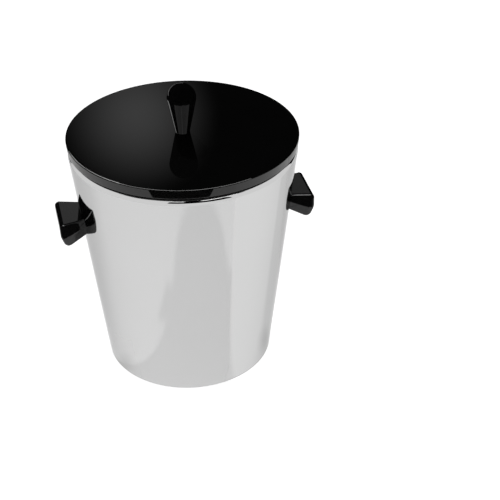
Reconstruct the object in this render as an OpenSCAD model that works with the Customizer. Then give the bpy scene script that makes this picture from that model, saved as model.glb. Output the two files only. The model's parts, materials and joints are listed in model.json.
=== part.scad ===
// Insulated ice bucket: a tapered polished steel shell, a plastic liner with a rim
// ring, two wedge grips and a lift-off lid with a knob. Millimetres, +Z up, the origin
// on the table under the bucket's axis, grips along X.

/* [Shell] */
// Radius of the steel wall at the table
shell_base_r = 68.9; // [60:0.1:75]
// Radius of the steel wall at its top
shell_top_r = 91.6; // [88:0.1:93]
// Height of the steel wall's top edge
shell_top_z = 195.8; // [180:0.1:210]
// Thickness of the sheet steel
shell_t = 0.8; // [0.6:0.1:1.2]
// Outside radius of the bottom edge
shell_foot_round = 3; // [2.5:0.5:4]
// Outside radius of the top shoulder
shell_top_round = 4; // [2:0.2:5]

/* [Foot] */
// How far the rubber ring stands below the steel
foot_proud = 0.8; // [0.4:0.1:2]
// Outer radius of the rubber ring
foot_outer_r = 63.5; // [62:0.5:63.5]
// Inner radius of the rubber ring
foot_inner_r = 56.5; // [55.5:0.5:58]
// How far the middle of the base is raised
base_rise = 2.4; // [2.4:0.2:4]

/* [Liner] */
// Space between the steel wall and the liner, filled with foam
foam_gap = 8.6; // [8.6:0.2:10]
// Wall thickness of the liner
liner_t = 2; // [1.6:0.2:3]
// Height of the liner's floor, measured under it
liner_z = 12; // [11:0.5:16]
// Floor thickness of the liner
liner_floor_t = 2.5; // [2:0.5:4]
// Outside radius of the liner's bottom corner
liner_round = 12; // [8:1:16]

/* [Rim] */
// Outer radius of the rim ring
ring_r = 88.6; // [88:0.1:88.8]
// Height of the rim ring above the steel
ring_h = 1.2; // [1:0.1:2]
// Radius of the rim ring's upper edge
ring_round = 0.5; // [0.3:0.1:0.6]
// Depth of the ring's skirt inside the steel
skirt_depth = 6.8; // [4:0.2:10]

/* [Lid] */
// Radius of the lid at its top edge
lid_r = 92; // [91.5:0.1:93]
// Height of the lid's side band
lid_h = 7.9; // [7:0.1:10]
// How much smaller the lid is at the bottom of its band
lid_draft = 0.7; // [0:0.1:1]
// Radius of the lid's top edge
lid_edge = 0.8; // [0.5:0.1:1.2]
// Wall thickness of the lid's cover
lid_t = 2.2; // [1.8:0.1:2.4]
// Gap between the lid's band and the rim ring
lid_gap = 0.3; // [0.3:0.1:0.8]
// Depth of the plug under the lid inside the liner
plug_depth = 11.3; // [8:0.1:14]
// Clearance of the plug in the liner
plug_gap = 0.8; // [0.5:0.1:1.5]

/* [Knob] */
// Radius of the knob where it stands on the lid
knob_base_r = 5.65; // [5:0.05:6.5]
// Radius of the knob's round top
knob_r = 11.5; // [10:0.25:13]
// Height of the knob
knob_h = 41; // [34:0.5:48]

/* [Grips] */
// Height of the screws that hold the grips
grip_z = 137; // [110:1:160]
// Half the grip's length at its outer face
grip_half = 20.6; // [18:0.1:24]
// Half the grip's length at the wall
grip_wall_half = 15.6; // [14.5:0.1:20]
// Half the distance between a grip's two screws
grip_screw_y = 10; // [8:0.5:13]

/* [Fasteners] */
// Radius of the screw shanks
screw_r = 2; // [1.5:0.25:2]
// Radius of the screw heads
head_r = 3.9; // [3.5:0.1:4]
// Height of the screw heads
head_h = 2.3; // [2:0.1:2.4]
// Outer radius of the brass inserts
insert_r = 3.1; // [2.8:0.1:3.4]
// Play of a screw in a drilled hole
screw_play = 0.2; // [0.1:0.05:0.3]

/* [Hidden] */
$fn = 144;

wall_fn = 360;                    // finer facets where a grip or a saddle meets the wall
steps = 8;                        // points along each rounded corner of a profile
slack = 0.2;                      // ease of the foam in its space
taper = (shell_top_r - shell_base_r) / shell_top_z;
lean = atan(taper);               // the wall's slant from upright

base_z = foot_proud + shell_t;    // underside of the base disc, on the turned-in foot
panel_z = base_z + base_rise;     // underside of the raised middle of the base
shell_mouth_r = foot_outer_r + slack;
neck_r = ring_r - 3;              // opening of the steel shell's turned-in top
washer_t = 0.8;
boss_r = 6;
pilot_r = screw_r - 0.4;

rim_z = shell_top_z + ring_h;     // top of the rim ring and of the liner's flange
flange_t = 2;
skirt_r = neck_r - slack;         // outside of the rim ring's skirt
seat_r = skirt_r - 1.2;           // pocket of the rim ring for the liner's flange
flange_r = seat_r - slack;
gasket_t = 0.4;

band_z = rim_z + lid_gap;
lid_z = band_z + lid_h;           // the lid's flat top
cover_z = lid_z - lid_t;          // underside of the lid's cover
seal_t = 1;
pan_t = 2;
pan_z = rim_z + seal_t;           // underside of the pan's flange
plug_z = rim_z - plug_depth;
pan_r = lid_r - lid_draft - lid_t - 0.4;
pocket_r = 9;

knob_c = knob_h - knob_r;         // height of the round top's centre over the lid
knob_lean = asin(knob_r / norm([knob_base_r, knob_c])) - atan(knob_base_r / knob_c);
knob_insert_len = 14;
knob_washer_r = 8;

grip_insert_len = 9;
saddle_u = -4.2;                  // flat inner face of the saddle behind a grip
saddle_half = [17, 6];
grip_screw_len = 13;

function shell_r(z) = shell_base_r + taper * z;
function liner_r(z) = shell_r(z) - shell_t - foam_gap;
function liner_in(z) = liner_r(z) - liner_t;
function plug_r(z) = liner_in(z) - plug_gap;

// Points of an arc, from one angle to another
function arc(x, z, r, from, to) =
    [for (i = [0:steps]) let (a = from + (to - from) * i / steps) [x + r * cos(a), z + r * sin(a)]];

// Centre of a round of radius r between a wall of radius wall and a level face
function corner(wall, r) = wall - r / cos(lean);

module turned(points) {
    rotate_extrude() polygon(points);
}

// ---- steel shell and base ----

module outer_shell() {
    foot_c = foot_proud + shell_foot_round;
    top_c = shell_top_z - shell_top_round;
    foot_x = corner(shell_r(foot_c), shell_foot_round);
    top_x = corner(shell_r(top_c), shell_top_round);
    color("gainsboro")
        difference() {
            turned(concat(
                [[shell_mouth_r, foot_proud]],
                arc(foot_x, foot_c, shell_foot_round, -90, -lean),
                arc(top_x, top_c, shell_top_round, -lean, 90),
                [[neck_r, shell_top_z], [neck_r, shell_top_z - shell_t]],
                arc(top_x, top_c, shell_top_round - shell_t, 90, -lean),
                arc(foot_x, foot_c, shell_foot_round - shell_t, -lean, -90),
                [[shell_mouth_r, base_z]]));
            for (side = [1, -1])
                at_grip(side) screw_holes(screw_r + screw_play, -6, 6);
        }
}

module base_disc() {
    rim_r = foot_outer_r + 2.7;
    slope_r = foot_inner_r - 2.5;
    slope_run = 4;
    color("silver")
        turned([[screw_r + screw_play, panel_z], [slope_r - slope_run, panel_z], [slope_r, base_z],
                [rim_r, base_z], [rim_r, base_z + shell_t], [slope_r + slack, base_z + shell_t],
                [slope_r - slope_run + slack, panel_z + shell_t],
                [screw_r + screw_play, panel_z + shell_t]]);
}

module foot_ring() {
    edge = 0.5;
    color("dimgray")
        turned(concat(
            [[foot_inner_r, base_z]],
            arc(foot_inner_r + edge, edge, edge, 180, 270),
            arc(foot_outer_r - edge, edge, edge, -90, 0),
            [[foot_outer_r, base_z]]));
}

module base_washer() {
    color("silver") washer(boss_r, washer_t, panel_z - washer_t);
}

module base_screw() {
    color("silver")
        translate([0, 0, panel_z - washer_t]) screw(pilot_r + slack / 2, 6.6);
}

// ---- liner, rim and foam ----

module inner_liner() {
    floor_z = liner_z + liner_floor_t;
    inner_round = liner_round - liner_t;
    lip = 1.2;
    color("dimgray")
        turned(concat(
            [[0, liner_z - 1], [pilot_r, liner_z - 1], [pilot_r, panel_z + shell_t],
             [boss_r, panel_z + shell_t], [boss_r, liner_z]],
            arc(corner(liner_r(liner_z + liner_round), liner_round), liner_z + liner_round,
                liner_round, -90, -lean),
            [[liner_r(rim_z - flange_t), rim_z - flange_t], [flange_r, rim_z - flange_t],
             [flange_r, rim_z]],
            arc(liner_in(rim_z) + lip, rim_z - lip, lip, 90, 180),
            arc(corner(liner_in(floor_z + inner_round), inner_round), floor_z + inner_round,
                inner_round, -lean, -90),
            [[0, floor_z]]));
}

module rim_ring() {
    foot_edge = 0.3;
    skirt_t = 2.7;
    groove = [neck_r + 0.4, neck_r + 1.4];
    color("black")
        turned(concat(
            [[seat_r, rim_z]],
            arc(ring_r - ring_round, rim_z - ring_round, ring_round, 90, 0),
            arc(ring_r - foot_edge, shell_top_z + foot_edge, foot_edge, 0, -90),
            [[groove[1], shell_top_z], [groove[1], shell_top_z + gasket_t],
             [groove[0], shell_top_z + gasket_t], [groove[0], shell_top_z],
             [skirt_r, shell_top_z], [skirt_r, shell_top_z - skirt_depth],
             [skirt_r - skirt_t, shell_top_z - skirt_depth],
             [skirt_r - skirt_t, rim_z - flange_t], [seat_r, rim_z - flange_t]]));
}

module rim_gasket() {
    low = neck_r + 0.5;
    high = neck_r + 1.3;
    color("darkslategray")
        turned([[low, shell_top_z], [high, shell_top_z], [high, shell_top_z + gasket_t],
                [low, shell_top_z + gasket_t]]);
}

module insulation_sleeve() {
    low = 4;
    high = shell_top_z - skirt_depth - 0.5;
    inset = shell_t + slack;
    room = [14, 42, 20];
    color("khaki")
        difference() {
            turned([[liner_r(low) + slack, low], [shell_r(low) - inset, low],
                    [shell_r(high) - inset, high], [liner_r(high) + slack, high]]);
            for (side = [1, -1])
                at_grip(side) translate([-room[0], -room[1] / 2, -room[2] / 2]) cube(room);
        }
}

module insulation_disc() {
    low = panel_z + shell_t + 0.1;
    high = liner_z - 0.1;
    wide = liner_r(low) - slack;
    color("khaki")
        turned([[boss_r + 0.3, low], [wide, low], [wide, high], [boss_r + 0.3, high]]);
}

// ---- grips ----

// Local frame of a grip: X out along the wall's normal, Z up along the wall
module at_grip(side) {
    mirror([side < 0 ? 1 : 0, 0, 0])
        translate([shell_r(grip_z), 0, grip_z]) rotate([0, lean, 0]) children();
}

module screw_holes(r, from, to) {
    for (y = [-grip_screw_y, grip_screw_y])
        translate([from, y, 0]) rotate([0, 90, 0]) cylinder(r = r, h = to - from);
}

// A bar along Y with small chamfers, one rounded edge of the grip
module peg(u, w, r, half) {
    edge = min(1, r / 2);
    translate([u, 0, w]) rotate([90, 0, 0]) {
        cylinder(r = r, h = 2 * (half - edge), center = true, $fn = 32);
        cylinder(r = r - edge, h = 2 * half, center = true, $fn = 32);
    }
}

module grip(side) {
    sunk = -2;                   // the bar starts inside the wall, which cuts it to shape
    color("black")
        difference() {
            at_grip(side)
                hull() {
                    peg(15, 5.4, 3.8, grip_half);
                    peg(11.3, -0.6, 8, grip_half);
                    peg(13.2, -6.6, 4.8, grip_half);
                    peg(sunk, 5.9, 1, grip_wall_half);
                    peg(sunk, -5.6, 1, grip_wall_half);
                }
            cylinder(r1 = shell_base_r, r2 = shell_top_r, h = shell_top_z, $fn = wall_fn);
            at_grip(side) screw_holes(insert_r, -6, grip_insert_len + 0.6);
        }
}

module grip_inserts(side) {
    color("goldenrod")
        at_grip(side)
            difference() {
                screw_holes(insert_r, 0.3, grip_insert_len + 0.3);
                screw_holes(screw_r, -1, grip_insert_len + 1);
            }
}

module grip_saddle(side) {
    color("dimgray")
        difference() {
            intersection() {
                at_grip(side)
                    translate([saddle_u, -saddle_half[0], -saddle_half[1]])
                        cube([-saddle_u + 1, 2 * saddle_half[0], 2 * saddle_half[1]]);
                cylinder(r1 = shell_base_r - shell_t - 0.05, r2 = shell_top_r - shell_t - 0.05,
                         h = shell_top_z, $fn = wall_fn);
            }
            at_grip(side) screw_holes(screw_r + screw_play, saddle_u - 1, 2);
        }
}

module grip_washers(side) {
    color("silver")
        at_grip(side)
            for (y = [-grip_screw_y, grip_screw_y])
                translate([saddle_u, y, 0]) rotate([0, 90, 0]) washer(5, washer_t, -washer_t);
}

module grip_screws(side) {
    color("silver")
        at_grip(side)
            for (y = [-grip_screw_y, grip_screw_y])
                translate([saddle_u - washer_t, y, 0]) rotate([0, 90, 0])
                    screw(screw_r, grip_screw_len);
}

// ---- fasteners ----

module washer(r, t, z) {
    turned([[screw_r + screw_play, z], [r, z], [r, z + t], [screw_r + screw_play, z + t]]);
}

// A pan-head screw with a cross recess, the shank up from z = 0 and the head below it
module screw(r, length) {
    edge = 0.6;
    cross = [3.6, 0.8, 1.2];
    difference() {
        turned([[0, -head_h], [head_r - edge, -head_h], [head_r, -head_h + edge], [head_r, 0],
                [r, 0], [r, length - edge], [r - edge, length], [0, length]]);
        for (turn = [0, 90])
            rotate([0, 0, turn])
                translate([-cross[0] / 2, -cross[1] / 2, -head_h - slack]) cube(cross);
    }
}

// ---- lid ----

module lid_cover() {
    foot_edge = 0.4;
    low_r = lid_r - lid_draft;
    color("black")
        turned(concat(
            [[screw_r + screw_play, cover_z], [screw_r + screw_play, lid_z]],
            arc(lid_r - lid_edge, lid_z - lid_edge, lid_edge, 90, 0),
            arc(low_r - foot_edge, band_z + foot_edge, foot_edge, 0, -90),
            [[low_r - lid_t, band_z], [lid_r - lid_t, cover_z]]));
}

module lid_pan() {
    plug_round = 2;
    post_t = 2;
    color("dimgray")
        turned(concat(
            [[0, plug_z]],
            arc(corner(plug_r(plug_z + plug_round), plug_round), plug_z + plug_round,
                plug_round, -90, -lean),
            [[plug_r(pan_z), pan_z], [pan_r, pan_z], [pan_r, cover_z], [pan_r - post_t, cover_z],
             [pan_r - post_t, pan_z + pan_t], [plug_r(pan_z) - pan_t, pan_z + pan_t],
             [plug_r(plug_z + pan_t) - pan_t, plug_z + pan_t], [0, plug_z + pan_t]]));
}

module lid_insulation() {
    low = plug_z + pan_t + 0.1;
    high = cover_z - 0.1;
    pocket_z = cover_z - washer_t - head_h - 0.6;
    wide = plug_r(low) - pan_t - slack;
    color("khaki")
        turned([[0, low], [wide, low], [wide, high], [pocket_r, high], [pocket_r, pocket_z],
                [0, pocket_z]]);
}

module lid_seal() {
    low = liner_in(rim_z) + 1.6;
    high = flange_r - slack;
    color("gray")
        turned([[low, rim_z], [high, rim_z], [high, pan_z], [low, pan_z]]);
}

module knob() {
    edge = 0.35;
    hole = knob_insert_len + 1;
    color("black")
        translate([0, 0, lid_z])
            turned(concat(
                [[0, hole], [insert_r, hole], [insert_r, 0], [knob_base_r - edge, 0],
                 [knob_base_r, edge]],
                arc(0, knob_c, knob_r, -knob_lean, 90)));
}

module knob_insert() {
    color("goldenrod")
        translate([0, 0, lid_z])
            difference() {
                cylinder(r = insert_r, h = knob_insert_len);
                translate([0, 0, -1]) cylinder(r = screw_r, h = knob_insert_len + 2);
            }
}

module knob_washer() {
    color("silver") washer(knob_washer_r, washer_t, cover_z - washer_t);
}

module knob_screw() {
    color("silver") translate([0, 0, cover_z - washer_t]) screw(screw_r, 14);
}

outer_shell();
base_disc();
foot_ring();
inner_liner();
rim_ring();
rim_gasket();
insulation_sleeve();
insulation_disc();
base_screw();
base_washer();
grip(-1);  // grip_left
grip(1);  // grip_right
grip_inserts(-1);  // grip_inserts_left
grip_inserts(1);  // grip_inserts_right
grip_screws(-1);  // grip_screws_left
grip_screws(1);  // grip_screws_right
grip_washers(-1);  // grip_washers_left
grip_washers(1);  // grip_washers_right
grip_saddle(-1);  // grip_saddle_left
grip_saddle(1);  // grip_saddle_right
lid_cover();
lid_pan();
lid_insulation();
lid_seal();
knob();
knob_insert();
knob_screw();
knob_washer();
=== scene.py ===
import json
import math
import bpy
import mathutils
import numpy as np
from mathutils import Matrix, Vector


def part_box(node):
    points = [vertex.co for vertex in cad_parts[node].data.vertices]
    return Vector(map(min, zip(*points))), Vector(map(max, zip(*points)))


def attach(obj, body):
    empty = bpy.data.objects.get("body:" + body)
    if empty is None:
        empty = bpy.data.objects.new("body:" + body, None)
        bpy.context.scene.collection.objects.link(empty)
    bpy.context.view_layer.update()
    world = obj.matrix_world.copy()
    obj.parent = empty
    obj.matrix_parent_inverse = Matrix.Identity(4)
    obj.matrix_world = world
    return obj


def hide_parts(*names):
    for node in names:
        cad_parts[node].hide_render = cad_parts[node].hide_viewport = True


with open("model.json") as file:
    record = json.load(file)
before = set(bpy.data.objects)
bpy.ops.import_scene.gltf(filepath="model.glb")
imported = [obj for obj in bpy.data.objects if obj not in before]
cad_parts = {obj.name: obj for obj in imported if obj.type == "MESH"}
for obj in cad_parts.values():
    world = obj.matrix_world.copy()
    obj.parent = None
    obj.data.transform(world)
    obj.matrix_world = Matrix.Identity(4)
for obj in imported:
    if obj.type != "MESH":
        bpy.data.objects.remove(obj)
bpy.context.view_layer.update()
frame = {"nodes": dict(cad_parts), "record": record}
mm = 0.001


def skin(name, grid, closed):
    # grid[i, j] is a point: j runs round and always meets itself, and i runs along.
    # closed joins the last i to the first, otherwise both end rows shrink to one point.
    # A face's outside is the cross product of the j step and the i step.
    along, around = grid.shape[:2]
    index = np.arange(along * around).reshape(along, around)
    if not closed:
        index[0] = index[0, 0]
        index[-1] = index[-1, 0]
    here = index if closed else index[:-1]
    ahead = np.roll(index, -1, axis=0) if closed else index[1:]
    side = lambda rows: np.roll(rows, -1, axis=1)
    quads = np.stack([here, side(here), side(ahead), ahead], axis=-1).reshape(-1, 4)
    sameStart = quads[:, 0] == quads[:, 1]
    sameEnd = quads[:, 2] == quads[:, 3]
    faces = quads[~(sameStart | sameEnd)].tolist()
    faces += quads[sameStart][:, [0, 2, 3]].tolist()
    faces += quads[sameEnd][:, :3].tolist()
    used, faces = packed(faces)
    mesh = bpy.data.meshes.new(name)
    mesh.from_pydata(grid.reshape(-1, 3)[used].tolist(), [], faces)
    mesh.polygons.foreach_set("use_smooth", np.ones(len(mesh.polygons), bool))
    mesh.set_sharp_from_angle(angle=math.radians(40))
    piece = bpy.data.objects.new(name, mesh)
    bpy.context.scene.collection.objects.link(piece)
    return piece


def packed(faces):
    # keeps only the points that faces use, and renumbers the faces to match
    flat = np.concatenate([np.asarray(face) for face in faces])
    used, renumbered = np.unique(flat, return_inverse=True)
    ends = np.cumsum([len(face) for face in faces])[:-1]
    return used, [part.tolist() for part in np.split(renumbered, ends)]


def straight(a, b, near=0.12 * mm, parts=5):
    # points from a to b, with one close to each end so that smooth shading stays flat between
    a, b = np.asarray(a, float), np.asarray(b, float)
    inset = min(near / max(np.linalg.norm(b - a), 1e-9), 0.2)
    t = np.r_[0, np.linspace(inset, 1 - inset, parts), 1]
    return a + (b - a) * t[:, None]


def roundedLine(corners, closed, steps=10):
    # corners are (radius from the axis, height, rounding): each sharp corner becomes an
    # arc that touches both of its sides, and the sides between are straight
    points = np.array([corner[:2] for corner in corners], float)
    runs, count = [], len(corners)
    for i, corner in enumerate(corners):
        here = points[i]
        if corner[2] == 0 or (not closed and i in (0, count - 1)):
            runs.append(here[None])
            continue
        back, on = points[i - 1] - here, points[(i + 1) % count] - here
        back, on = back / np.linalg.norm(back), on / np.linalg.norm(on)
        half = math.acos(np.clip(back @ on, -1, 1)) / 2
        middle = (back + on) / np.linalg.norm(back + on)
        centre = here + middle * corner[2] / math.sin(half)
        touch = corner[2] / math.tan(half)
        first, last = here + back * touch - centre, here + on * touch - centre
        start = math.atan2(first[1], first[0])
        turn = (math.atan2(last[1], last[0]) - start + math.pi) % (2 * math.pi) - math.pi
        t = start + turn * np.linspace(0, 1, steps + 1)
        runs.append(centre + corner[2] * np.c_[np.cos(t), np.sin(t)])
    line = []
    for i, run in enumerate(runs):
        line.append(run)
        if closed or i < count - 1:
            line.append(straight(run[-1], runs[(i + 1) % count][0])[1:-1])
    return np.concatenate(line)


def lathed(name, line, closed, around):
    # a profile, anticlockwise with the radius to the right and the height up, carried
    # round the axis: x = r cos a, y = r sin a, z = height
    a = np.linspace(0, 2 * math.pi, around, endpoint=False)
    r, z = line[:, :1], line[:, 1:]
    return skin(name, np.stack([r * np.cos(a), r * np.sin(a), z + 0 * a], axis=-1), closed)


def turned(name, corners, closed=True, around=256, steps=10):
    return lathed(name, roundedLine(corners, closed, steps), closed, around)


def grooved(middles, base, half, deep, wide, edge):
    # corners of shallow grooves cut up from the height base: each is flat for 0.8 of half to
    # both sides of its middle radius, and its sloping sides end at wide times half
    return [(r + dx * half, base + dz, edge) for r in middles
            for dx, dz in ((-wide, 0), (-0.8, deep), (0.8, deep), (wide, 0))]


class Signal:
    # one output socket; the usual operators add Math nodes
    def __init__(self, paint, socket):
        self.paint, self.socket = paint, socket

    def maths(self, operation, other, flip=False):
        pair = (other, self) if flip else (self, other)
        return self.paint.add("ShaderNodeMath", {"operation": operation}, dict(enumerate(pair)))

    def __add__(self, other): return self.maths("ADD", other)
    def __radd__(self, other): return self.maths("ADD", other)
    def __sub__(self, other): return self.maths("SUBTRACT", other)
    def __rsub__(self, other): return self.maths("SUBTRACT", other, flip=True)
    def __mul__(self, other): return self.maths("MULTIPLY", other)
    def __rmul__(self, other): return self.maths("MULTIPLY", other)


class Paint:
    def __init__(self, name):
        self.material = bpy.data.materials.new(name)
        self.material.use_nodes = True
        self.tree = self.material.node_tree
        self.shader = self.tree.nodes["Principled BSDF"]
        self.place = self.add("ShaderNodeTexCoord", out="Object")

    def add(self, kind, settings=None, links=None, out=0):
        # settings go on the node first, then each link or value on its input
        node = self.tree.nodes.new(kind)
        for key, value in (settings or {}).items():
            setattr(node, key, value)
        for key, value in (links or {}).items():
            self.feed(node.inputs[key], value)
        return Signal(self, node.outputs[out])

    def feed(self, socket, value):
        if isinstance(value, Signal):
            self.tree.links.new(value.socket, socket)
        else:
            socket.default_value = value

    def finish(self, **values):
        for key, value in values.items():
            self.feed(self.shader.inputs[key.replace("_", " ")], value)
        return self.material

    def stretch(self, scale):
        return self.add("ShaderNodeMapping", links={"Vector": self.place, "Scale": scale})

    def noise(self, scale, detail=3.0, stretch=(1, 1, 1)):
        links = {"Vector": self.stretch(stretch), "Scale": scale, "Detail": detail}
        return self.add("ShaderNodeTexNoise", links=links)

    def between(self, value, low, high):
        # 0 at low, 1 at high, smooth between
        return self.add("ShaderNodeMapRange", {"interpolation_type": "SMOOTHSTEP"},
                        {"Value": value, "From Min": low, "From Max": high})

    def blend(self, factor, a, b):
        return self.add("ShaderNodeMix", {"data_type": "RGBA"}, {0: factor, 6: a, 7: b}, out=2)

    def axisDistance(self):
        flat = self.add("ShaderNodeVectorMath", {"operation": "MULTIPLY"},
                        {0: self.place, 1: (1, 1, 0)})
        return self.add("ShaderNodeVectorMath", {"operation": "LENGTH"}, {0: flat}, out="Value")

    def along(self, x, y):
        # how far a point lies along the level direction (x, y)
        return self.add("ShaderNodeVectorMath", {"operation": "DOT_PRODUCT"},
                        {0: self.place, 1: (x, y, 0)}, out="Value")

    def bump(self, height, strength, depth, under=None):
        links = {"Height": height, "Strength": strength, "Distance": depth}
        if under is not None:
            links["Normal"] = under
        return self.add("ShaderNodeBump", links=links)


def grey(level, warmth=0.0):
    return (level * (1 + warmth), level, level * (1 - warmth), 1)


def polishedSteel():
    # mirror sheet: faint polishing lines round the wall, slight unevenness of the sheet
    paint = Paint("polishedSteel")
    lines = paint.noise(1.0, 4, stretch=(9, 9, 2600))
    cloud = paint.noise(14.0, 2)
    sheet = paint.noise(7.0, 1)
    normal = paint.bump(sheet, 0.15, 0.25 * mm)
    return paint.finish(Base_Color=paint.blend(cloud, grey(0.535), grey(0.55)), Metallic=1.0,
                        Specular_Tint=grey(0.68),
                        Roughness=0.03 + lines * 0.035 + cloud * 0.02,
                        Normal=paint.bump(lines, 0.03, 0.02 * mm, normal))


def blackGloss(name, level, gloss, scuff):
    # high-gloss moulding: jet base, a trace of haze and very fine hairlines
    paint = Paint(name)
    haze = paint.noise(30.0, 4)
    hairs = paint.between(paint.noise(90.0, 6, stretch=(1, 9, 4)), 0.62, 0.75)
    flow = paint.noise(18.0, 1)
    return paint.finish(Base_Color=paint.blend(haze, grey(level * 0.8), grey(level * 1.2)),
                        Roughness=gloss + haze * scuff + hairs * scuff, IOR=1.45,
                        Normal=paint.bump(flow, 0.1, 0.1 * mm))


def satinPlastic(name, level, rough, grain, depth):
    # moulded plastic with a fine spark-eroded grain
    paint = Paint(name)
    fine = paint.noise(grain, 3)
    cloud = paint.noise(20.0, 3)
    return paint.finish(Base_Color=paint.blend(cloud, grey(level * 0.85), grey(level * 1.15)),
                        Roughness=rough + fine * 0.12 + cloud * 0.06,
                        Normal=paint.bump(fine, 0.35, depth))


def softRubber(name, level):
    # matt rubber: fine grain and a little pale dust
    paint = Paint(name)
    fine = paint.noise(2500.0, 4)
    dust = paint.between(paint.noise(120.0, 5), 0.5, 0.8)
    return paint.finish(Base_Color=paint.blend(dust, grey(level), grey(level * 1.8, 0.03)),
                        Roughness=0.62 + fine * 0.25, Normal=paint.bump(fine, 0.5, 0.05 * mm))


def spunSteel():
    # dull base disc: rings left by the spinning tool, a few darker smudges
    paint = Paint("spunSteel")
    rings = paint.add("ShaderNodeTexNoise", {"noise_dimensions": "1D"},
                      {"W": paint.axisDistance(), "Scale": 2200.0, "Detail": 3.0})
    smudge = paint.between(paint.noise(25.0, 4), 0.45, 0.75)
    return paint.finish(Base_Color=paint.blend(smudge, grey(0.58), grey(0.47, 0.02)), Metallic=1.0,
                        Roughness=0.24 + rings * 0.16 + smudge * 0.1,
                        Normal=paint.bump(rings, 0.5, 0.03 * mm))


def zincSteel():
    # plated fasteners: small crystals and a slight change of tint
    paint = Paint("zincSteel")
    crystals = paint.add("ShaderNodeTexVoronoi", links={"Vector": paint.place, "Scale": 900.0},
                         out="Distance")
    tint = paint.noise(160.0, 3)
    return paint.finish(Base_Color=paint.blend(tint, grey(0.60), grey(0.70, 0.05)), Metallic=1.0,
                        Roughness=0.2 + crystals * 0.2 + tint * 0.08,
                        Normal=paint.bump(crystals, 0.15, 0.02 * mm))


def turnedBrass():
    # insert: knurled diamonds from two crossed sets of waves, tarnish in the hollows
    paint = Paint("turnedBrass")
    waves = [paint.add("ShaderNodeTexWave", {"bands_direction": "DIAGONAL"},
                       {"Vector": paint.stretch(turn), "Scale": 260.0}, out="Fac")
             for turn in ((1, 1, 1), (1, 1, -1))]
    knurl = waves[0] * waves[1]
    return paint.finish(Base_Color=paint.blend(knurl, (0.45, 0.29, 0.09, 1), (0.83, 0.62, 0.27, 1)),
                        Metallic=1.0, Roughness=0.42 - knurl * 0.18,
                        Normal=paint.bump(knurl, 0.6, 0.15 * mm))


def rigidFoam():
    # closed cells of two sizes with paler walls
    paint = Paint("rigidFoam")
    cells = paint.add("ShaderNodeTexVoronoi", {"feature": "DISTANCE_TO_EDGE"},
                      {"Vector": paint.place, "Scale": 850.0}, out="Distance")
    blotch = paint.noise(60.0, 4)
    shade = paint.blend(blotch, (0.74, 0.62, 0.36, 1), (0.84, 0.75, 0.52, 1))
    inside = paint.between(cells, 0.0, 0.2)
    return paint.finish(Base_Color=paint.blend(inside, (0.9, 0.83, 0.62, 1), shade),
                        Roughness=0.85, Normal=paint.bump(cells, 0.7, 0.3 * mm))


finishes = {
    "polished_steel": polishedSteel(),
    "plain_steel": spunSteel(),
    "zinc_steel": zincSteel(),
    "black_gloss": blackGloss("lidGloss", 0.004, 0.015, 0.02),
    "black_moulding": blackGloss("mouldedGloss", 0.005, 0.04, 0.06),
    "liner_plastic": satinPlastic("linerPlastic", 0.04, 0.3, 1800.0, 0.02 * mm),
    "seal_rubber": softRubber("sealRubber", 0.05),
    "foot_rubber": softRubber("footRubber", 0.02),
    "foam": rigidFoam(),
    "saddle_plastic": satinPlastic("saddlePlastic", 0.09, 0.4, 1300.0, 0.05 * mm),
    "brass": turnedBrass(),
}
slotOf = {part["node"]: part["material_slot"] for part in frame["record"]["subparts"]}
for node, piece in frame["nodes"].items():
    piece.data.materials.clear()
    piece.data.materials.append(finishes[slotOf[node]])
print("materials made:", len(finishes))


def fit(piece, node):
    # the piece takes the node's place, its body and its finish
    piece.data.materials.append(finishes[slotOf[node]])
    body = next(name for name, nodes in bodyNodes.items() if node in nodes)
    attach(piece, body)
    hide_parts(node)
    return piece


bodyNodes = frame["record"]["behaviour"]["bodies"]
low = lambda node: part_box(node)[0]
high = lambda node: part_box(node)[1]


wall = dict(footRadius=68.9 * mm, topRadius=91.6 * mm, sheet=0.8 * mm, mouth=63.7 * mm,
            neck=85.6 * mm, footRound=3 * mm, topRound=4 * mm, lip=0.2 * mm)
wall["foot"], wall["top"] = low("outer_shell").z, high("outer_shell").z
wall["taper"] = (wall["topRadius"] - wall["footRadius"]) / wall["top"]
wall["lean"] = math.atan(wall["taper"])


def wallRadius(z):
    return wall["footRadius"] + wall["taper"] * z


def steelShell():
    # the wall with its turned-in foot and its rounded shoulder, outside then inside
    foot, top, sheet = wall["foot"], wall["top"], wall["sheet"]
    inside = lambda z: wallRadius(z) - sheet / math.cos(wall["lean"])
    return turned("steelShell", [
        (wall["mouth"], foot, wall["lip"]),
        (wallRadius(foot), foot, wall["footRound"]),
        (wallRadius(top), top, wall["topRound"]),
        (wall["neck"], top, wall["lip"]),
        (wall["neck"], top - sheet, wall["lip"]),
        (inside(top - sheet), top - sheet, wall["topRound"] - sheet),
        (inside(foot + sheet), foot + sheet, wall["footRound"] - sheet),
        (wall["mouth"], foot + sheet, wall["lip"])], around=512, steps=14)


def rimRing():
    # the glossy ring between steel and lid, its skirt down inside the neck
    ring = dict(round=0.5 * mm, foot=0.3 * mm, ease=0.2 * mm, wide=1.2 * mm, skirt=2.7 * mm,
                seat=2 * mm, edge=0.2 * mm)
    outer, top, bottom = high("rim_ring").x, high("rim_ring").z, low("rim_ring").z
    skirt = wall["neck"] - ring["ease"]
    pocket = skirt - ring["wide"]
    return turned("rimRing", [
        (skirt - ring["skirt"], bottom, ring["edge"]),
        (skirt, bottom, ring["edge"]),
        (skirt, wall["top"], 0),
        (outer, wall["top"], ring["foot"]),
        (outer, top, ring["round"]),
        (pocket, top, ring["edge"]),
        (pocket, top - ring["seat"], 0),
        (skirt - ring["skirt"], top - ring["seat"], ring["edge"])], around=384)


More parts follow.
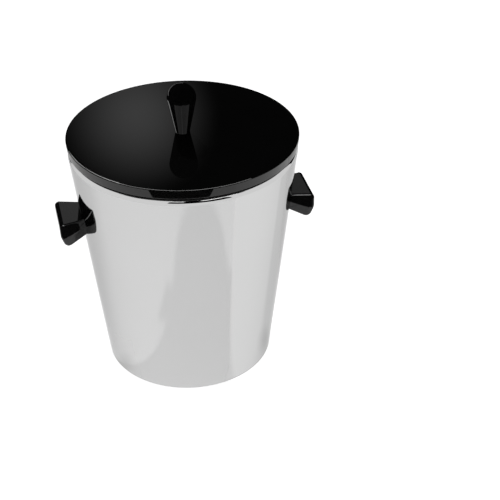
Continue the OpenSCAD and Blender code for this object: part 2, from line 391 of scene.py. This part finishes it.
def linerCup():
    # the cup that holds the ice: boss below, flange on the rim ring, generous inside corner
    cup = dict(gap=8.6 * mm, t=2 * mm, floor=2.5 * mm, base=12 * mm, corner=12 * mm, lip=1.2 * mm,
               pilot=1.6 * mm, pilotEnd=11 * mm, boss=6 * mm, flange=2 * mm, edge=0.3 * mm)
    outer = lambda z: wallRadius(z) - wall["sheet"] - cup["gap"]
    inner = lambda z: outer(z) - cup["t"]
    bottom, top, flange = low("inner_liner").z, high("inner_liner").z, high("inner_liner").x
    floor = cup["base"] + cup["floor"]
    return turned("linerCup", [
        (0, cup["pilotEnd"], 0),
        (cup["pilot"], cup["pilotEnd"], 0),
        (cup["pilot"], bottom, 0),
        (cup["boss"], bottom, cup["edge"]),
        (cup["boss"], cup["base"], 2 * cup["edge"]),
        (outer(cup["base"]), cup["base"], cup["corner"]),
        (outer(top - cup["flange"]), top - cup["flange"], cup["edge"]),
        (flange, top - cup["flange"], cup["edge"]),
        (flange, top, cup["edge"]),
        (inner(top), top, cup["lip"]),
        (inner(floor), floor, cup["corner"] - cup["t"]),
        (0, floor, 0)], closed=False)


def baseDisc():
    # pressed steel bottom: flat rim, sloping step, raised middle with one pressed bead
    disc = dict(hole=2.2 * mm, slope=54 * mm, run=4 * mm, bead=30 * mm, beadHalf=3 * mm,
                beadRise=0.5 * mm, soft=1 * mm, edge=0.1 * mm)
    rim, foot, top = high("base_disc").x, low("base_disc").z, high("base_disc").z
    sheet = wall["sheet"]
    panel = top - sheet

    def side(z, lift):
        return [(disc["hole"], z + lift, disc["edge"]),
                (disc["bead"] - disc["beadHalf"], z + lift, disc["soft"]),
                (disc["bead"], z + lift - disc["beadRise"], disc["soft"]),
                (disc["bead"] + disc["beadHalf"], z + lift, disc["soft"]),
                (disc["slope"] - disc["run"], z + lift, disc["soft"])]
    under = side(panel, 0) + [(disc["slope"], foot, disc["soft"]), (rim, foot, disc["edge"])]
    above = [(rim, foot + sheet, disc["edge"]), (disc["slope"], foot + sheet, disc["soft"])]
    return turned("baseDisc", under + above + side(panel, sheet)[::-1])


def footRing():
    # non-slip ring with three small grooves underneath
    ring = dict(inner=56.5 * mm, edge=0.4 * mm, glued=0.1 * mm, deep=0.35 * mm, half=0.5 * mm,
                wide=1.4, count=3)
    outer, top = high("foot_ring").x, high("foot_ring").z
    middles = np.linspace(ring["inner"], outer, ring["count"] + 2)[1:-1]
    return turned("footRing", [
        (ring["inner"], 0, ring["edge"]),
        *grooved(middles, 0, ring["half"], ring["deep"], ring["wide"], ring["glued"]),
        (outer, 0, ring["edge"]),
        (outer, top, ring["glued"]),
        (ring["inner"], top, ring["glued"])], steps=5)


fit(steelShell(), "outer_shell")
fit(rimRing(), "rim_ring")
fit(linerCup(), "inner_liner")
fit(baseDisc(), "base_disc")
fit(footRing(), "foot_ring")
print("bucket skins made")


grip = dict(height=137 * mm, half=20.6 * mm, wallHalf=15.6 * mm, start=-2 * mm, full=15 * mm,
            edge=1.6 * mm, ridge=0.3 * mm, ridgeFall=0.2, upperDraft=6.0, lowerDraft=8.0,
            ridgeSoft=0.35 * mm, sink=0.1 * mm, directions=720, keep=3, flatStep=1.2 * mm,
            endRows=24, endCrowd=0.8, bendRows=9, flanks=(0.98, 0.5, 0, -0.5, -0.98),
            circles=[(15, 5.4, 3.78), (11.3, -0.6, 8), (13.2, -6.6, 4.78),
                     (-2, 5.9, 1), (-2, -5.6, 1)])      # out from the wall, up it, radius, in mm


def gripOutline():
    # the stretched-band outline round five circles: for each outward direction the point
    # furthest that way, then spread along the flats; returns points and their directions
    circles, flatStep = np.array(grip["circles"]) * mm, grip["flatStep"]
    angle = np.linspace(-math.pi, math.pi, grip["directions"], endpoint=False)
    out = np.c_[np.cos(angle), np.sin(angle)]
    reach = out @ circles[:, :2].T + circles[:, 2]
    chosen = circles[np.argmax(reach, axis=1)]
    points = chosen[:, :2] + out * chosen[:, 2:]
    loop = np.vstack([points, points[:1]])
    length = np.r_[0, np.cumsum(np.linalg.norm(np.diff(loop, axis=0), axis=1))]
    turn = np.r_[angle, math.pi]
    long = np.flatnonzero(np.diff(length) > 2 * flatStep)
    spread = [np.linspace(length[k], length[k + 1], 2 + int((length[k + 1] - length[k]) / flatStep))
              for k in long]
    beside = np.r_[length[long] + 0.1 * mm, length[long + 1] - 0.1 * mm]
    place = np.unique(np.concatenate([length[:-1:grip["keep"]], beside] + spread))
    place = place[(place < length[-1] - 1e-6) & (np.diff(np.r_[-1, place]) > 1e-5)]
    at = np.interp(place, length, turn)
    line = np.c_[np.interp(place, length, loop[:, 0]), np.interp(place, length, loop[:, 1])]
    return line, np.c_[np.cos(at), np.sin(at)]


def gripEnd(u, w):
    # half length at a point of the outline: it widens away from the wall and falls off
    # above and below a soft ridge, the mould's parting line
    along = np.clip((u - grip["start"]) / (grip["full"] - grip["start"]), 0, 1)
    wide = grip["wallHalf"] + (grip["half"] - grip["wallHalf"]) * along
    off = w - (grip["ridge"] - grip["ridgeFall"] * u)
    away = np.sqrt(off ** 2 + grip["ridgeSoft"] ** 2) - grip["ridgeSoft"]
    draft = np.where(off > 0, math.tan(math.radians(grip["upperDraft"])),
                     math.tan(math.radians(grip["lowerDraft"])))
    return wide - away * draft


def gripBar(name, side):
    # rows run from one end's middle, out over its rounded edge, along the bar and back in
    line, out = gripOutline()
    middle = line.mean(axis=0)
    bend = np.linspace(0, math.pi / 2, grip["bendRows"])
    rows = []
    for q in np.linspace(0, 1, grip["endRows"], endpoint=False) ** grip["endCrowd"]:
        spot = middle + (line - out * grip["edge"] - middle) * q
        rows.append((spot, gripEnd(spot[:, 0], spot[:, 1])))
    for b in bend[::-1]:
        spot = line - out * grip["edge"] * (1 - math.cos(b))
        full = gripEnd(spot[:, 0], spot[:, 1])
        rows.append((spot, full - grip["edge"] * (1 - math.sin(b))))
    half = [np.stack([spot[:, 0], y, spot[:, 1]], axis=-1) for spot, y in rows]
    flanks = [half[-1] * (1, share, 1) for share in grip["flanks"]]
    grid = np.stack(half + flanks + [row * (1, -1, 1) for row in half[::-1]])
    tilt = wall["lean"]
    u, y, w = grid[..., 0], grid[..., 1], grid[..., 2]
    x = wallRadius(grip["height"]) + u * math.cos(tilt) + w * math.sin(tilt)
    z = grip["height"] - u * math.sin(tilt) + w * math.cos(tilt)
    sunk = wallRadius(z) - grip["sink"]      # the wall end follows the round of the steel
    x = np.maximum(x, np.sqrt(np.maximum(sunk ** 2 - y ** 2, 0)))
    return skin(name, np.stack([side * x, side * y, z], axis=-1), closed=False)


fit(gripBar("gripLeft", -1), "grip_left")
fit(gripBar("gripRight", 1), "grip_right")
print("grips made")


def lidCover():
    # flat top, small bright edge, side band drawn in towards its foot
    lid = dict(t=2.2 * mm, draft=0.7 * mm, edge=0.8 * mm, foot=0.5 * mm, lip=0.2 * mm,
               hole=2.2 * mm, inside=1 * mm)
    radius, top, foot = high("lid_cover").x, high("lid_cover").z, low("lid_cover").z
    return turned("lidCover", [
        (lid["hole"], top - lid["t"], 0),
        (radius - lid["t"], top - lid["t"], lid["inside"]),
        (radius - lid["draft"] - lid["t"], foot, lid["lip"]),
        (radius - lid["draft"], foot, lid["foot"]),
        (radius, top, lid["edge"]),
        (lid["hole"], top, 0)], around=512, steps=14)


def lidPan():
    # underside of the lid: plug with a recessed panel, flange and the rib that meets the cover
    pan = dict(t=2 * mm, gap=11.4 * mm + wall["sheet"], rib=2 * mm, round=2 * mm, edge=0.3 * mm,
               panel=62 * mm, recess=0.8 * mm, soft=0.8 * mm)
    plug = lambda z: wallRadius(z) - pan["gap"]
    bottom, top, outer = low("lid_pan").z, high("lid_pan").z, high("lid_pan").x
    flange = high("lid_seal").z
    return turned("lidPan", [
        (0, bottom + pan["recess"], 0),
        (pan["panel"], bottom + pan["recess"], pan["soft"]),
        (pan["panel"] + pan["recess"], bottom, pan["soft"] / 2),
        (plug(bottom), bottom, pan["round"]),
        (plug(flange), flange, pan["edge"]),
        (outer, flange, pan["edge"]),
        (outer, top, pan["edge"]),
        (outer - pan["rib"], top, pan["edge"]),
        (outer - pan["rib"], flange + pan["t"], pan["edge"]),
        (plug(flange) - pan["t"], flange + pan["t"], pan["edge"]),
        (plug(bottom) - pan["t"], bottom + pan["t"], pan["edge"]),
        (0, bottom + pan["t"], 0)], closed=False)


def lidSeal():
    # soft flat ring, two shallow grooves on its sealing face
    seal = dict(inner=81.85 * mm, edge=0.25 * mm, fine=0.05 * mm, deep=0.25 * mm, half=0.35 * mm,
                wide=1.3, count=2)
    outer, bottom, top = high("lid_seal").x, low("lid_seal").z, high("lid_seal").z
    middles = np.linspace(seal["inner"], outer, seal["count"] + 2)[1:-1]
    return turned("lidSeal", [
        (seal["inner"], bottom, seal["edge"]),
        *grooved(middles, bottom, seal["half"], seal["deep"], seal["wide"], seal["fine"]),
        (outer, bottom, seal["edge"]),
        (outer, top, seal["edge"]),
        (seal["inner"], top, seal["edge"])], steps=4)


def knobBody():
    # straight taper that meets a round top without a corner: the taper touches the ball
    # where the line from the foot's edge is tangent to it
    knob = dict(foot=5.65 * mm, ball=11.5 * mm, bore=3.1 * mm, depth=15 * mm, edge=0.35 * mm)
    base, top = low("knob").z, high("knob").z
    centre = top - knob["ball"]
    rise = centre - base
    lean = math.asin(knob["ball"] / math.hypot(knob["foot"], rise)) - math.atan(knob["foot"] / rise)
    t = np.linspace(-lean, math.pi / 2, 49)
    ball = np.c_[knob["ball"] * np.cos(t), centre + knob["ball"] * np.sin(t)]
    ball[-1, 0] = 0
    foot = roundedLine([(0, base + knob["depth"], 0), (knob["bore"], base + knob["depth"], 0),
                        (knob["bore"], base, 0), (knob["foot"], base, knob["edge"]),
                        (ball[0, 0], ball[0, 1], 0)], closed=False)
    return lathed("knobBody", np.vstack([foot[:-1], ball]), closed=False, around=160)


fit(lidCover(), "lid_cover")
fit(lidPan(), "lid_pan")
fit(lidSeal(), "lid_seal")
fit(knobBody(), "knob")
print("lid skins made")


camera = dict(lens=93.6, turn=-13.2, down=33.17, roll=-0.24, distance=1.0801, across=0.0527,
              rise=-0.0074, aim=0.1023)


def direction(turn, up):
    # unit vector: turn 0 is straight away from the camera, positive to its right
    a, e = math.radians(turn - camera["turn"]), math.radians(up)
    return np.array([math.sin(a) * math.cos(e), math.cos(a) * math.cos(e), math.sin(e)])


def placeCamera():
    away = direction(0, -camera["down"])
    level = direction(90, 0)
    roll = math.radians(camera["roll"])
    right = math.cos(roll) * level + math.sin(roll) * np.cross(level, away)
    upward = np.cross(right, away)
    spot = np.array([0, 0, camera["aim"]]) - away * camera["distance"]
    spot = spot + right * camera["across"] + upward * camera["rise"]
    data = bpy.data.cameras.new("camera")
    data.lens, data.sensor_width = camera["lens"], 36.0
    shooter = bpy.data.objects.new("camera", data)
    shooter.location = spot
    shooter.rotation_euler = mathutils.Matrix(np.stack([right, upward, -away], axis=1)).to_euler()
    bpy.context.scene.collection.objects.link(shooter)
    bpy.context.scene.camera = shooter


def stagePanel(name, points, faces, material):
    mesh = bpy.data.meshes.new(name)
    mesh.from_pydata(points, [], faces)
    mesh.materials.append(material)
    panel = bpy.data.objects.new(name, mesh)
    bpy.context.scene.collection.objects.link(panel)
    return panel


def sheet(name, width, depth, material):
    x, y = width / 2, depth / 2
    return stagePanel(name, [(-x, -y, 0), (x, -y, 0), (x, y, 0), (-x, y, 0)], [(0, 1, 2, 3)], material)


def aimAt(thing, spot, target):
    facing = np.asarray(target, float) - np.asarray(spot, float)
    thing.location = spot
    thing.rotation_euler = mathutils.Vector(facing).to_track_quat("-Z", "Y").to_euler()


def onlySeenIn(panel, camera=False, glossy=False):
    panel.visible_camera, panel.visible_glossy = camera, glossy
    panel.visible_diffuse = panel.visible_transmission = panel.visible_shadow = False


def lit(paint, colour, **values):
    # a surface that only gives off its own light
    return paint.finish(Base_Color=grey(0), Roughness=1.0, IOR=1.0, Emission_Strength=1.0,
                        Emission_Color=colour, **values)


def glowing(name, level):
    return lit(Paint(name), grey(level))


floor = dict(size=24.0, height=-0.6 * mm, albedo=0.8, glow=0.82)
table = dict(height=-0.2 * mm, half=0.6, front=0.29, fadeStart=0.33, fadeEnd=0.42)


def floorPaint(name, fade):
    # white floor; with fade it thins out with distance from the bucket
    paint = Paint(name)
    near = 1.0
    if fade:
        near = 1 - paint.between(paint.axisDistance(), table["fadeStart"], table["fadeEnd"])
    return paint.finish(Base_Color=grey(floor["albedo"]), Roughness=0.6, Alpha=near,
                        Emission_Strength=floor["glow"], Emission_Color=grey(1))


def floorSpot(across, ahead, height=0.0):
    # a place on the floor: metres to the camera's right and toward the camera
    return direction(90, 0) * across - direction(0, 0) * ahead + (0, 0, height)


def floorCard(name, corners, height, material):
    # a flat card over the floor, seen by reflections only; x across, y toward the camera
    card = stagePanel(name, [(x, y, 0) for x, y in corners], [(0, 1, 2, 3)], material)
    card.location.z = height
    card.rotation_euler = (math.pi, 0, math.radians(camera["turn"]))
    onlySeenIn(card, glossy=True)


# the floor that the camera sees, and the table top that reflections see instead
ground = sheet("ground", floor["size"], floor["size"], floorPaint("groundWhite", False))
ground.location.z = floor["height"]
ground.visible_glossy = False
half, front = table["half"], table["front"]
floorCard("table", [(-half, -half), (half, -half), (half, front), (-half, front)],
          table["height"], floorPaint("tableWhite", True))

backdrop = dict(radius=11.5, level=1.0)
bpy.ops.mesh.primitive_uv_sphere_add(segments=64, ring_count=32, radius=backdrop["radius"])
dome = bpy.context.object
dome.name = "dome"
dome.data.materials.append(glowing("domeWhite", backdrop["level"]))
onlySeenIn(dome, camera=True)


def seenBy(name, pieces, state="INCLUDE"):
    # a light given this collection shines on the included pieces only, or on all but the
    # excluded ones, as flags and screens would arrange it
    group = bpy.data.collections.new(name)
    for piece in pieces:
        group.objects.link(bpy.data.objects[piece])
    for link in group.collection_objects:
        link.light_linking.link_state = state
    return group


def aimIn(thing, turn, up, far, height):
    # far metres away in a direction, facing the axis at a height
    aimAt(thing, direction(turn, up) * far + (0, 0, height), (0, 0, height))


# the lid's soft glow, brightest in the middle and fading to nothing at the card's edge
glow = dict(turn=-6.1, up=27.1, far=4, height=0.2, size=0.66, level=0.42)
paint = Paint("glow")
fade = 1 - paint.between(paint.axisDistance(), 0.0, glow["size"] / 2)
panel = sheet("glow", glow["size"], glow["size"],
              lit(paint, paint.blend(fade, grey(0), grey(glow["level"]))))
aimIn(panel, glow["turn"], glow["up"], glow["far"], glow["height"])
onlySeenIn(panel, glossy=True)
panel.light_linking.receiver_collection = seenBy("glowing", ["lidCover"])

# the far edge of the table as the knob catches it
strip = dict(turn=-40, far=1.3, wide=2.2, tall=0.14, level=0.8)
panel = sheet("rimStrip", strip["wide"], strip["tall"], glowing("rimStrip", strip["level"]))
aimIn(panel, strip["turn"], 0, strip["far"], strip["tall"] / 2)
onlySeenIn(panel, glossy=True)
panel.light_linking.receiver_collection = seenBy("rimmed", ["knobBody"])

# where light thrown off the steel fills the shadow, and where the floor behind falls off:
# each patch begins between start and end, measured along its own direction
patches = [
    dict(name="pool", level=1.21, most=1.0, across=0.591, ahead=-0.806, start=-0.028, end=-0.018,
         height=1.0 * mm, corners=[(0, -0.02), (0.55, -0.3), (0.55, 0.48), (0, 0.06)]),
    dict(name="shadeRight", level=0.0, most=0.09, across=-0.49, ahead=-0.87, start=-0.07, end=-0.05,
         height=1.6 * mm, corners=[(0, -0.6), (0.6, -0.6), (0.6, 0.3), (0, 0.05)]),
    dict(name="shadeLeft", level=0.0, most=0.08, across=0.0, ahead=-1.0, start=-0.05, end=0.05,
         height=1.6 * mm, corners=[(-0.6, -0.6), (0, -0.6), (0, 0.06), (-0.6, 0.06)])]
for patch in patches:
    paint = Paint(patch["name"])
    way = paint.along(patch["across"], patch["ahead"])
    beyond = paint.between(way, patch["start"], patch["end"])
    floorCard(patch["name"], patch["corners"], patch["height"],
              lit(paint, grey(patch["level"]), Alpha=beyond * patch["most"]))

# painted contact shadow: soft dark cards on the floor beside the foot, seen only in reflections, for
# the shade of the narrow gap under the turned-in foot
shadowCardHeight = 2 * mm
contactShadowSpots = [dict(across=0.078, ahead=0.010, reach=0.026, most=0.13),
            dict(across=-0.060, ahead=0.042, reach=0.02, most=0.12)]
for number, spot in enumerate(contactShadowSpots):
    paint = Paint(f"contact{number}")
    fade = 1 - paint.between(paint.axisDistance(), 0.0, spot["reach"])
    size = 3 * spot["reach"]
    # each card is black and fades out from its middle: a painted shadow on the floor that only the
    # steel's reflection shows
    panel = sheet(f"contact{number}", size, size, lit(paint, grey(0), Alpha=fade * spot["most"]))
    panel.location = floorSpot(spot["across"], spot["ahead"], shadowCardHeight)
    onlySeenIn(panel, glossy=True)

# the far floor, for the steel alone
apron = dict(size=9, height=-0.4 * mm, level=1.12)
boarded = seenBy("boarded", ["steelShell"])
panel = sheet("apron", apron["size"], apron["size"], glowing("apron", apron["level"]))
panel.location.z = apron["height"]
onlySeenIn(panel, glossy=True)
panel.light_linking.receiver_collection = boarded

# tall white boards on the table's edge, left and right, and a low one between them
boardLevel = 1.1
boards = [dict(top=0.62, plan=[(-0.054, 0.292), (-0.33, 0.292), (-0.42, 0.2), (-0.42, -0.25)]),
          dict(top=0.62, plan=[(0.27, 0.292), (0.33, 0.292), (0.42, 0.2), (0.42, -0.2)]),
          dict(top=0.24, plan=[(-0.054, 0.292), (0.27, 0.292)])]
for number, board in enumerate(boards):
    foot = [tuple(floorSpot(across, ahead)) for across, ahead in board["plan"]]
    head = [(x, y, board["top"]) for x, y, _ in foot]
    count = len(foot)
    faces = [(k, k + 1, count + k + 1, count + k) for k in range(count - 1)]
    panel = stagePanel(f"board{number}", foot + head, faces, glowing(f"board{number}", boardLevel))
    onlySeenIn(panel, glossy=True)
    panel.light_linking.receiver_collection = boarded

# a wide soft sky, and a small sun from behind that casts the bucket's shadow toward the camera
suns = [dict(name="sky", turn=-60, up=60, strength=0.8, spread=100),
        dict(name="backKey", turn=-16.5, up=44, strength=0.85, spread=4)]
for sun in suns:
    lamp = bpy.data.objects.new(sun["name"], bpy.data.lights.new(sun["name"], "SUN"))
    lamp.data.energy, lamp.data.angle = sun["strength"], math.radians(sun["spread"])
    aimIn(lamp, sun["turn"], sun["up"], 1, 0)
    lamp.visible_glossy = False
    bpy.context.scene.collection.objects.link(lamp)

# two front softboxes flagged off the knob and the steel, one at the left for the lid's edge, two
# narrow ones for the streaks on the steel's shoulder, and a far one above each grip's flat top
unlit = seenBy("unlit", ["knobBody", "steelShell"], "EXCLUDE")
lidOnly = seenBy("lidOnly", ["lidCover"])
onLeft, onRight = seenBy("onLeft", ["gripLeft"]), seenBy("onRight", ["gripRight"])
boxHeight = 0.1
boxes = [dict(turn=215, up=57, far=0.45, wide=0.32, tall=0.16, level=25, sees=unlit),
         dict(turn=142, up=57, far=0.45, wide=0.35, tall=0.16, level=25, sees=unlit),
         dict(turn=-62, up=46, far=1.4, wide=1.0, tall=0.8, level=40, sees=lidOnly),
         dict(turn=187, up=50, far=1.4, wide=0.3, tall=0.15, level=8, sees=boarded),
         dict(turn=138, up=50, far=1.4, wide=0.7, tall=0.15, level=8, sees=boarded),
         dict(turn=-8, up=32, far=4, wide=1.4, tall=0.7, level=1.1, sees=onLeft),
         dict(turn=2, up=31, far=4, wide=1.4, tall=0.7, level=0.75, sees=onRight)]
for number, box in enumerate(boxes):
    lamp = bpy.data.objects.new(f"softbox{number}", bpy.data.lights.new(f"softbox{number}", "AREA"))
    lamp.data.shape, lamp.data.size, lamp.data.size_y = "RECTANGLE", box["wide"], box["tall"]
    lamp.data.energy = box["level"] * box["wide"] * box["tall"]
    aimIn(lamp, box["turn"], box["up"], box["far"], boxHeight)
    lamp.visible_diffuse = False
    lamp.light_linking.receiver_collection = box["sees"]
    bpy.context.scene.collection.objects.link(lamp)

world = bpy.data.worlds.new("world")
world.use_nodes = True
world.node_tree.nodes["Background"].inputs["Color"].default_value = grey(0)
bpy.context.scene.world = world
bpy.context.scene.view_settings.view_transform = "Standard"
placeCamera()
print("stage ready")
